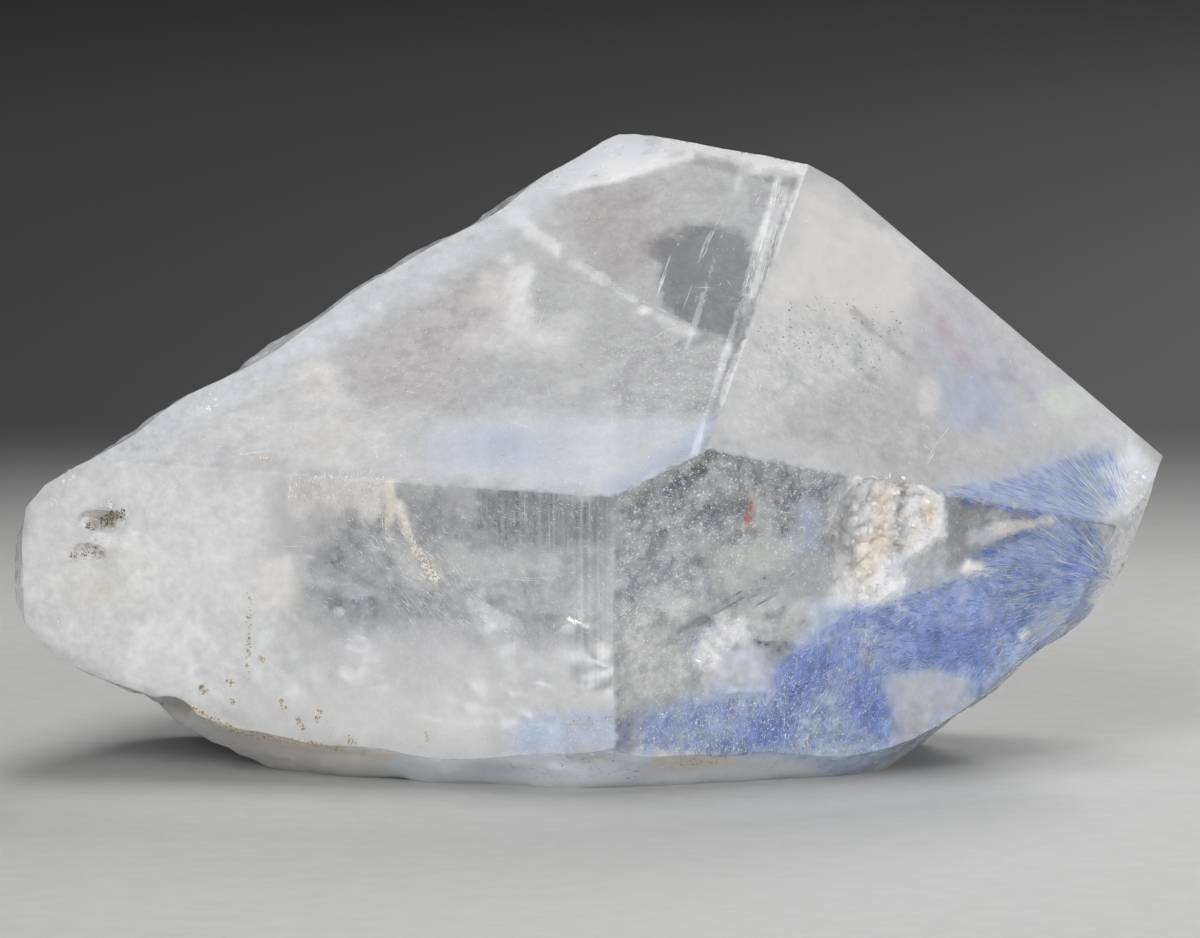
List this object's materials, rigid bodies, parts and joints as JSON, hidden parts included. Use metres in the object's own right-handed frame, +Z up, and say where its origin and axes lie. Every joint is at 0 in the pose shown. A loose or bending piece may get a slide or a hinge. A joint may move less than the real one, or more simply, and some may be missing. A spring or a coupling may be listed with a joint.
{
  "type": "dumortierite quartz crystal",
  "caption": "Short clear to milky quartz point lying on its side, with flat prism and rhombohedron faces, broken butt and underside, and blue dumortierite fibres inside its lower right.",
  "frame": {"origin": "on the resting flat, under the middle of the crystal's box", "axes": "+X along the crystal from its broken butt to its tip, -Y towards the front prism face, +Z up from the resting flat"},
  "size_m": [0.0248, 0.0146, 0.0135],
  "materials": {
    "quartz": "clear to milky natural quartz, glassy faces and frosted breaks",
    "dumortierite": "silky blue fibres enclosed in the quartz"
  },
  "bodies": {
    "root": {"quartz_crystal": "quartz"}
  },
  "joints": []
}
